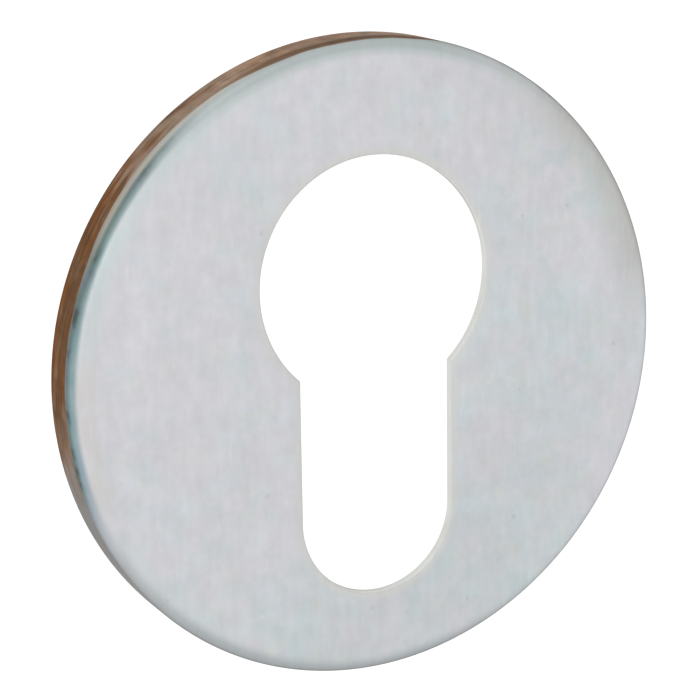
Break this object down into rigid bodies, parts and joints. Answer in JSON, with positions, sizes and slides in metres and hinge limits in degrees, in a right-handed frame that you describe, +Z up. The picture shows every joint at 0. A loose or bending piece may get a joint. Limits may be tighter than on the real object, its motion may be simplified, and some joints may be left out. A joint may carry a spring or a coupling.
{
  "type": "keyhole escutcheon",
  "caption": "Round satin steel escutcheon cover with a brown rim, an open back and a keyhole for a profile cylinder.",
  "frame": {"origin": "centre of the disc on the plane of the back rim, which is the face of the door", "axes": "as it hangs on a door: +Z up, with the keyhole's round part above its slot; +Y into the door, so the face looks along -Y; +X to the right of someone who faces it"},
  "size_m": [0.052, 0.004, 0.052],
  "materials": {
    "satin_steel": "satin, brushed up and down the face, with a brown tone on the skirt that is worn to bare steel along the foot"
  },
  "bodies": {
    "root": {"escutcheon_cover": "satin_steel"}
  },
  "joints": []
}
